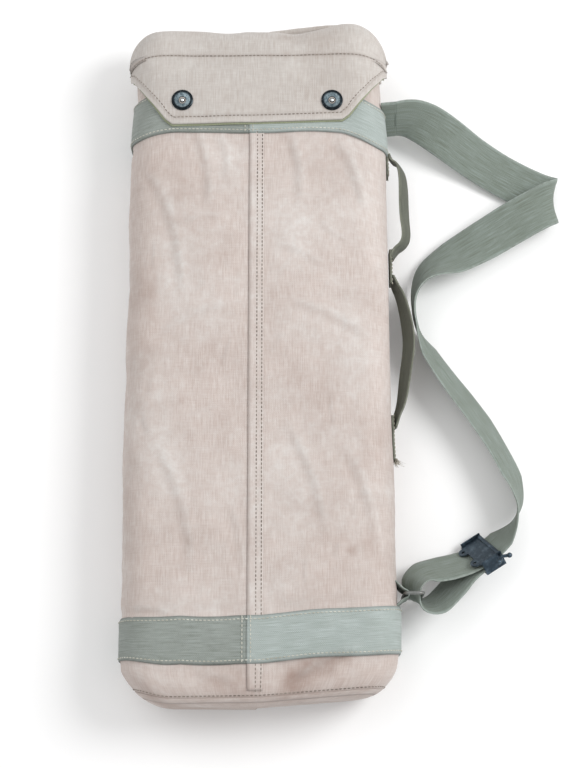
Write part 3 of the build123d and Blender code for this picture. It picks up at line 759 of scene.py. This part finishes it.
def bag_body():
    """The canvas tube, closed at the bottom and open at the mouth, in one sagging skin."""
    y = heights()
    s = np.linspace(-half_girth, half_girth, 264, endpoint=False)
    grid_s, grid_y = np.meshgrid(s, y)
    points = body(grid_s, grid_y)
    last = points[-1]
    middle = last.mean(0)
    closing = []
    for share in np.linspace(0.93, 0.0, 16):
        ring = middle + (last - middle) * np.array([max(share, 0.02), 1.0, share])
        ring[:, 1] -= 0.0012 * (1 - share)
        closing.append(ring)
    points = np.concatenate([points, np.stack(closing)])
    rows = len(points)
    cloth_y = np.concatenate([grid_y, bottom_y - np.linspace(0.002, 0.036, 16)[:, None] + 0 * s[None, :]])
    cloth = np.stack([np.broadcast_to(s, (rows, len(s))), cloth_y], -1)
    all_marks = body_marks(np.broadcast_to(s, (rows, len(s))), cloth_y)
    end_out = np.broadcast_to(np.array([0.0, -1.0, 0.0]), (len(closing), len(s), 3))
    out = np.concatenate([outward(grid_s), end_out])
    skin = make_mesh("bag_body", points, grid_faces(rows, len(s), closed=True), body_canvas,
                     cloth, all_marks, out)
    thicken(skin, wall)
    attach(skin, "bag")
    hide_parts("body_panel_left", "body_panel_right", "bottom_panel")


def strip(name, s, low, high, lift, thickness, material, rows=17):
    """A band of cloth sewn on the body between the heights low and high, along s."""
    share = np.linspace(0, 1, rows)[:, None]
    y = low[None, :] * (1 - share) + high[None, :] * share
    grid_s = np.broadcast_to(s, y.shape)
    edge = np.exp(-((np.minimum(share, 1 - share) / 0.06) ** 2))
    points = body(grid_s, y, lift=lift - 0.0004 * edge)
    soil_and_shadow, fade, shade = body_marks(grid_s, y)
    # A thin line of painted shadow along both edges of the band, where it meets the canvas.
    rim = np.exp(-((np.minimum(share, 1 - share) / 0.015) ** 2)) + 0 * y
    fade = np.clip(0.5 * fade + 0.35 * edge, 0, 1)
    cloth = np.stack([y, grid_s], -1)
    marks = (0.7 * soil_and_shadow, fade, np.clip(shade + rim, 0, 1))
    piece = make_mesh(name, points, grid_faces(rows, len(s)), material, cloth, marks, outward(grid_s))
    thicken(piece, thickness)
    return piece


def bands():
    """Webbing sewn round the bag near its mouth and near its bottom, in two halves that meet at the seam."""
    rows = []
    for level, (low, high) in (("upper", upper_band), ("lower", lower_band)):
        for side, start, end, lift in (("left", -half_girth, seam_edge, 0.0),
                                       ("right", seam_edge, half_girth, 0.0005)):
            s = np.linspace(start, end, 130)
            dip = 0.0035 * np.sin(np.clip(np.abs(s + 0.065) / 0.05, 0, 1) * math.pi) * (level == "lower")
            wave = 0.0012 * swell(s, 0 * s, 0.05, 61)
            bottom, top = low + wave - dip * 0.3, high + wave * 0.8 - dip * 0.3
            material = dull_band if side == "left" else pale_band
            piece = strip(f"{level}_band_cloth_{side}", s, bottom, top, band_lift + lift, band_ply, material)
            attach(piece, "bag")
            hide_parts(f"{level}_band_{side}")
            for edge_y in (bottom + 0.0032, top - 0.0032):
                rows.append((body(s, edge_y, band_lift + lift + 0.0003), outward(s)))
    for at in (seam_edge - 0.004, seam_edge + 0.0035):
        for low, high in (upper_band, lower_band):
            y = np.linspace(low + 0.002, high - 0.002, 20)
            rows.append((body(at + 0 * y, y, band_lift + 0.0008), outward(at + 0 * y)))
    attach(stitches("band_stitches", rows, white_thread), "bag")


def seams():
    """The felled seam down the front and the back, the bottom seam, and the hem at the mouth."""
    rows = []
    y = np.linspace(bottom_y + 0.012, mouth_y - 0.001, 230)
    for name, middle in (("front_seam", 0.0), ("back_seam", half_girth)):
        s = np.array([seam_edge, seam_edge + 0.0006, -0.004, -0.001, 0.002, 0.0045, seam_end - 0.0006,
                      seam_end])
        grid_y, grid_s = np.meshgrid(y, s + middle, indexing="ij")
        grid_s = np.where(grid_s > half_girth, grid_s - 2 * half_girth, grid_s)
        raise_by = np.interp(s, (seam_edge, seam_edge + 0.0006, seam_end - 0.0006, seam_end),
                             (0.0006, 0.0012, 0.0010, 0.0003))
        points = body(grid_s, grid_y, lift=raise_by[None, :])
        soil_and_shadow, fade, shade = body_marks(grid_s, grid_y)
        # A thin line of painted shade along the seam's raised edge.
        edge = np.exp(-(((s - seam_edge) / 0.0008) ** 2))[None, :]
        piece = make_mesh(name, points, grid_faces(*grid_y.shape), body_canvas,
                          np.stack([grid_s, grid_y], -1),
                          (soil_and_shadow, np.clip(fade + 0.2, 0, 1), np.clip(shade + edge, 0, 1)), outward(grid_s))
        thicken(piece, 0.0010)
        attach(piece, "bag")
        for at in (0.0004, 0.0050):
            line = at + middle - (2 * half_girth if at + middle > half_girth else 0)
            rows.append((body(line + 0 * y, y, 0.0011), outward(line + 0 * y)))
    s = np.linspace(-half_girth, half_girth, 300)
    low = bottom_y + 0.0045 + 0 * s
    hem = strip("bottom_seam", s, low - 0.0022, low + 0.0022, 0.0008, 0.0008, body_canvas, rows=5)
    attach(hem, "bag")
    rows.append((body(s, low + 0.0036, 0.0002), outward(s)))
    mouth_hem = strip("mouth_hem", s, mouth_y - 0.012 + 0 * s, mouth_y + 0 * s, 0.0007, 0.0007, body_canvas,
                      rows=5)
    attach(mouth_hem, "bag")
    rows.append((body(s, mouth_y - 0.010 + 0 * s, 0.0009), outward(s)))
    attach(stitches("body_stitches", rows, grey_thread), "bag")


def dividers():
    """Two cloth walls from front to back that part the inside into three."""
    for side in ("left", "right"):
        low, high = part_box(f"divider_{side}")
        y, z = np.meshgrid(np.linspace(high.y - 0.001, low.y + 0.016, 120),
                           np.linspace(low.z + 0.001, high.z - 0.0045, 24), indexing="ij")
        middle = (low.x + high.x) / 2
        slack = smooth((z - low.z) / 0.012) * smooth((high.z - z) / 0.012)
        x = middle + slack * (0.0022 * swell(z, y, 0.05, 71) + 0.0010 * swell(z, y, 0.02, 72))
        marks = (0.5 * np.clip(swell(z, y, 0.03, 73), 0, 1), 0 * z, 0 * z)
        piece = make_mesh(f"divider_cloth_{side}", np.stack([x, y, z], -1), grid_faces(*y.shape),
                          inner_canvas, np.stack([z, y], -1), marks)
        thicken(piece, 0.0014, way=0.0)
        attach(piece, "bag")
        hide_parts(f"divider_{side}")


# ---------------------------------------------------------------- the flap

def curve_through(points, steps):
    """An even curve through the points, steps to each span."""
    p = np.array(points, float)
    p = np.concatenate([[2 * p[0] - p[1]], p, [2 * p[-1] - p[-2]]])
    found = []
    for a, b, c, d in zip(p, p[1:], p[2:], p[3:]):
        for t in np.arange(steps) / steps:
            found.append(0.5 * (2 * b + (c - a) * t + (2 * a - 5 * b + 4 * c - d) * t**2
                                + (3 * b - 3 * c + d - a) * t**3))
    return np.array(found + [p[-2]])


def lap_edge(s):
    """Height of the lap's lower edge at distance s from its middle."""
    return np.interp(np.abs(s), lap_edge_places, lap_edge_heights) + 0.0022 * np.clip(s / 0.076, -1, 1)


def flap_relief(s, v):
    """How far the flap's cloth stands out, at distance s across it and v along it from the back seam."""
    out = 0.0016 * swell(s, v, 0.060, 81) + 0.0008 * swell(s, v, 0.026, 82)
    out += 0.0007 * (0.45 - np.abs(swell(s + 0.3 * v, v, 0.022, 83)))
    crown = np.exp(-(((v - 0.075) / 0.030) ** 2))
    out += crown * 0.0016 * np.exp(-(((s + 0.070) / 0.030) ** 2))
    out += crown * 0.0014 * np.exp(-(((s + 0.005) / 0.024) ** 2))
    out += crown * 0.0078 * np.exp(-(((s - 0.084) / 0.028) ** 2))
    out -= crown * 0.0024 * np.exp(-(((s - 0.034) / 0.014) ** 2))
    corner = smooth((np.abs(s) - 0.088) / 0.018)
    out += 0.0013 * corner * np.sin(v / 0.0075 + 2.2 * np.sign(s)) * np.exp(-(((v - 0.085) / 0.035) ** 2))
    return out


def flap_rows():
    """The flap's rows: place, inward direction, flat half-width, corner radius, reach and length along."""
    line = curve_through(flap_line, 8)
    tangent = unit(np.gradient(line, axis=0))
    inward = np.stack([-tangent[:, 1], tangent[:, 0]], -1)
    along = np.concatenate([[0], np.cumsum(np.linalg.norm(np.diff(line, axis=0), axis=1))])
    marks = (0.0, 0.030, 0.055, 0.085, along[-1])
    flat = np.interp(along, marks, (0.0850, 0.0865, 0.0880, 0.0860, 0.0860))
    radius = np.interp(along, marks, (0.0320, 0.0310, 0.0295, 0.0320, 0.0340))
    reach = np.interp(along, marks, (0.126, 0.134, 0.143, 0.138, 0.1300))
    return line, inward, flat, radius, reach, along


def flap_sheet(share, lift, first=0, last=None, lap_steps=34):
    """The flap's points for share from -1 to 1 across, for rows first to last of its line, then the lap."""
    line, inward, flat, radius, reach, along = flap_rows()
    rows = []
    stop = len(line) if last is None else last + 1
    for i in range(first, stop):
        s = share * reach[i]
        rows.append(flap_row(line[i], inward[i], flat[i], radius[i], s, along[i] + 0 * s, lift))
    if last is None:
        for step in range(1, lap_steps + 1):
            t = step / lap_steps
            s = share * reach[-1]
            height = fold_y * (1 - t) + lap_edge(s) * t
            middle = np.stack([height, lap_z + 0.0004 * np.sin(t * math.pi) + 0 * s], -1)
            rows.append(flap_row(middle, np.array([0.0, -1.0]), flat[-1], radius[-1], s,
                                 along[-1] + fold_y - height, lift))
    return [np.stack(parts) for parts in zip(*rows)]


def flap_row(middle, inward, flat, radius, s, v, lift):
    """One row of the flap: its points, outward directions and places in the cloth."""
    limit = math.radians(84)
    a, side = np.abs(s), np.where(s < 0, -1.0, 1.0)
    turn = np.clip((a - flat) / radius, 0, limit)
    rest = np.maximum(a - flat - radius * limit, 0)
    x = side * (np.minimum(a, flat) + radius * np.sin(turn) + rest * math.cos(limit))
    deep = radius * (1 - np.cos(turn)) + rest * math.sin(limit)
    out = np.stack([side * np.sin(turn), -np.cos(turn) * inward[..., 0], -np.cos(turn) * inward[..., 1]], -1)
    stand = flap_relief(s, v)
    on_lap = smooth((v - 0.100) / 0.012)
    for at, height in snap_spots:
        gap = (x - at) ** 2 + (middle[..., 0] - height) ** 2
        stand = stand * (1 - on_lap * np.exp(-gap / 0.024**2))
    stand = np.where(on_lap > 0.5, np.maximum(stand, -0.0012), stand) + lift
    place = np.stack([x, middle[..., 0] + deep * inward[..., 0], middle[..., 1] + deep * inward[..., 1]], -1)
    return place + out * stand[:, None], out, np.stack([s, v], -1)


def flap_marks(cloth):
    """How dirty, rubbed pale and shadowed the flap is."""
    s, v = cloth[..., 0], cloth[..., 1]
    fold_v = flap_rows()[-1][-1]
    soil_and_shadow = 0.30 * np.clip(swell(s, v, 0.055, 91), 0, 1) + 0.21 * np.exp(-(((v - fold_v) / 0.004) ** 2))
    soil_and_shadow = add_spots(soil_and_shadow, s, v, flap_stains)
    edge = np.abs(v - (fold_v + fold_y - lap_edge(s)))
    fade = 0.35 * np.clip(swell(s, v, 0.032, 92), 0, 1) + 0.5 * np.exp(-((edge / 0.0016) ** 2))
    shade = 0.55 * np.exp(-(((v - fold_v) / 0.0012) ** 2)) + 0.40 * np.exp(-(((edge - 0.0066) / 0.0012) ** 2))
    return np.clip(soil_and_shadow, 0, 1), np.clip(fade, 0, 1), np.clip(shade, 0, 1)


def flap():
    """The flap's cloth in three lengths, each bending across one of its folds, with its hem and stitching."""
    line = flap_rows()[0]
    cuts = [int(np.argmin(np.abs(line[:, 1] - z))) for z in crown_cuts]
    share = np.concatenate([np.linspace(-1, -0.62, 34)[:-1], np.linspace(-0.62, 0.62, 90),
                            np.linspace(0.62, 1, 34)[1:]])
    spans = {"rear": (0, cuts[0]), "crown": (cuts[0], cuts[1]), "lap": (cuts[1], None)}
    nodes = {"rear": "flap_rear", "crown": "flap_crown", "lap": "flap_lap"}
    for name, (first, last) in spans.items():
        points, out, cloth = flap_sheet(share, 0.0, first, last)
        piece = make_mesh(f"flap_cloth_{name}", points, grid_faces(*points.shape[:2]), flap_canvas,
                          cloth, flap_marks(cloth), out)
        thicken(piece, flap_ply)
        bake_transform(piece)
        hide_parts(nodes[name])
    lap_s = share * flap_rows()[4][-1]
    hem_rows = [hem_line(share, d) for d in hem_depths]
    hem_points = np.stack([p - o * (flap_ply + 0.0002) for p, o in hem_rows])
    hem_out = np.stack([-o for p, o in hem_rows])
    hem_cloth = np.stack([np.stack([lap_s, d + 0 * lap_s], -1) for d in hem_depths])
    hem = make_mesh("flap_facing_cloth", hem_points, grid_faces(*hem_points.shape[:2]), under_canvas,
                    hem_cloth, (0.3, 0.0, 0.0), hem_out)
    thicken(hem, 0.0012, way=1.0)
    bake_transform(hem)
    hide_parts("flap_facing")
    hem_stitches, hem_way = hem_line(share, 0.0062)
    rows = [(hem_stitches + hem_way * 0.0002, hem_way)]
    seam, seam_out, _ = flap_sheet(share[8:-8], 0.0002, len(line) - 2, None, lap_steps=3)
    rows.append((seam[1], seam_out[1]))
    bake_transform(stitches("flap_stitches", rows, grey_thread))


def hem_line(share, depth_in):
    """Points on the lap at depth_in from its lower edge, with their outward directions."""
    _, _, flat, radius, reach, along = flap_rows()
    s = share * reach[-1]
    slope = np.gradient(lap_edge(s), s)
    height = lap_edge(s) + depth_in * np.sqrt(1 + np.clip(slope, -1.6, 1.6) ** 2)
    height = np.minimum(height, fold_y - 0.002)
    middle = np.stack([height, lap_z + 0 * s], -1)
    points, out, _ = flap_row(middle, np.array([0.0, -1.0]), flat[-1], radius[-1], s,
                              along[-1] + fold_y - height, 0.0)
    return points, out


def rear_hem():
    """The back panel's hem, standing up behind the crown towards the right."""
    x = np.linspace(0.004, 0.112, 70)
    places = (0.004, 0.012, 0.035, 0.065, 0.082, 0.096, 0.104, 0.112)
    outer = np.interp(x, places, (0.3350, 0.3390, 0.3425, 0.3455, 0.3462, 0.3430, 0.3360, 0.3180))
    rows = []
    for share in np.linspace(0, 1, 7):
        y = outer - 0.015 * (1 - share)
        z = 0.029 + 0.013 * share + 0.0010 * swell(x, share * 0.01, 0.03, 101)
        rows.append(np.stack([x, y, z], -1))
    points = np.stack(rows)
    cloth = np.stack(np.broadcast_arrays(x[None, :], np.linspace(0, 0.012, 7)[:, None]), -1)
    out = np.broadcast_to(np.array([0.0, -0.3, 0.95]), points.shape)
    piece = make_mesh("rear_hem", points, grid_faces(*points.shape[:2]), flap_canvas, cloth,
                      (0.3, 0.2, 0.0), out)
    thicken(piece, 0.0022)
    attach(piece, "flap_back")
    row = [(points[4] + [0, 0, 0.0002], out[4])]
    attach(stitches("rear_hem_stitches", row, grey_thread), "flap_back")


# ---------------------------------------------------------------- handle, ring and metal

def handle():
    """One webbing in two loops, sewn to the side above, between and below them."""
    for name, route in (("upper", upper_loop_line), ("lower", lower_loop_line)):
        line = spline_line([(x, y, handle_z) for x, y in route])
        line, share = resample(line, 0.0016)
        tip = 0.10 + 0.56 * np.sin(share * math.pi) ** 0.7
        side = np.stack([tip * (1 if name == "lower" else -0.9), 0 * share, 1 + 0 * share], -1)
        loop = webbing(f"handle_{name}", line, side, handle_width, handle_ply, handle_cloth,
                       cup=0.0008)
        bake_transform(loop)
        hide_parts(f"handle_loop_{name}")
    rows = []
    for name, node, span in (("top", "handle_tack_top", (0.2260, 0.2085)),
                             ("middle", "handle_tack_middle", (0.1270, 0.0930)),
                             ("tail", "handle_tail", (-0.0300, -0.0700))):
        y = np.linspace(*span, 22)
        s = flat_half + corner_run + side_run / 2 + 0 * y
        line = body(s, y, lift=0.0012)
        line[:, 2] = handle_z
        line[:, 0] += 0.0014 * (name == "middle")
        side = np.broadcast_to(np.array([0.0, 0.0, 1.0]), line.shape)
        tack = webbing(f"handle_{name}_sewn", line, side, handle_width, handle_ply, handle_cloth)
        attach(tack, "bag")
        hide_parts(node)
        top = line + [0.0014, 0, 0]
        out = np.broadcast_to(np.array([1.0, 0.0, 0.0]), line.shape)
        for shift in (-0.0070, 0.0070):
            rows.append((top + [0, 0, shift], out))
        across = np.linspace(-0.0070, 0.0070, 8)
        for end in (2, -3):
            points = np.stack([top[end, 0] + 0 * across, top[end, 1] + 0 * across, handle_z + across], -1)
            rows.append((points, out[:len(across)]))
    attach(stitches("handle_stitches", rows, pale_thread), "bag")
    frayed_end()


def frayed_end():
    """Loose warp threads where the handle's cut tail has worn."""
    chance = np.random.default_rng(17)
    points, faces = [], []
    for _ in range(46):
        root = np.array([chance.uniform(0.1228, 0.1252), -0.0690, handle_z + chance.uniform(-0.0085, 0.0085)])
        way = np.array([chance.normal(0.25, 0.35), -1.0, chance.normal(0, 0.35)])
        reach = chance.uniform(0.003, 0.009)
        curl = np.array([chance.normal(0, 0.4), 0.3, chance.normal(0, 0.4)])
        for t in np.linspace(0, 1, 5):
            centre = root + way * reach * t + curl * reach * t * t
            for angle in (0, 2.09, 4.19):
                points.append(centre + 0.00022 * np.array([math.cos(angle), 0.0, math.sin(angle)]))
        first = len(points) - 15
        faces += [tuple(int(i) + first for i in f) for f in grid_faces(5, 3, closed=True)]
    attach(make_mesh("frayed_threads", points, faces, pale_thread), "bag")


def ring_keeper():
    """Webbing folded round the ring's bar and sewn to the side."""
    side_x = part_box("ring_keeper")[0].x
    route = [
        (side_x - 0.001, 0.0135), (side_x + 0.003, 0.0105), (ring_bar_x - 0.0010, 0.0040),
        (ring_bar_x + 0.0032, 0.0026), (ring_bar_x + 0.0036, -0.0026), (ring_bar_x - 0.0010, -0.0040),
        (side_x + 0.003, -0.0105), (side_x - 0.001, -0.0135),
    ]
    line, _ = resample(spline_line([(x, ring_y + y, ring_z) for x, y in route]), 0.0010)
    side = np.broadcast_to(np.array([0.0, 0.0, 1.0]), line.shape)
    keeper = webbing("keeper", line, side, keeper_width, keeper_ply, strap_cloth)
    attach(keeper, "bag")
    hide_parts("ring_keeper")


def hardware():
    """The finish of the metal pieces that the frame carries over."""
    finishes = {"strap_ring": bare_steel, "buckle_frame": black_oxide, "buckle_pin": black_oxide,
                "buckle_gripper": black_oxide}
    for side, centre in zip(("left", "right"), snap_spots):
        snap = snap_metal(f"snap_{side}", centre)
        finishes[f"snap_cap_{side}"] = snap
        finishes[f"snap_socket_{side}"] = snap
        finishes[f"snap_stud_{side}"] = bare_steel
        finishes[f"stud_washer_{side}"] = bare_steel
    for node, material in finishes.items():
        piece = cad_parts[node]
        for slot in piece.material_slots:
            slot.material = material
        if not piece.material_slots:
            piece.data.materials.append(material)


camera()
shoulder_strap()
bag_body()
bands()
seams()
dividers()
flap()
rear_hem()
handle()
ring_keeper()
hardware()
studio()
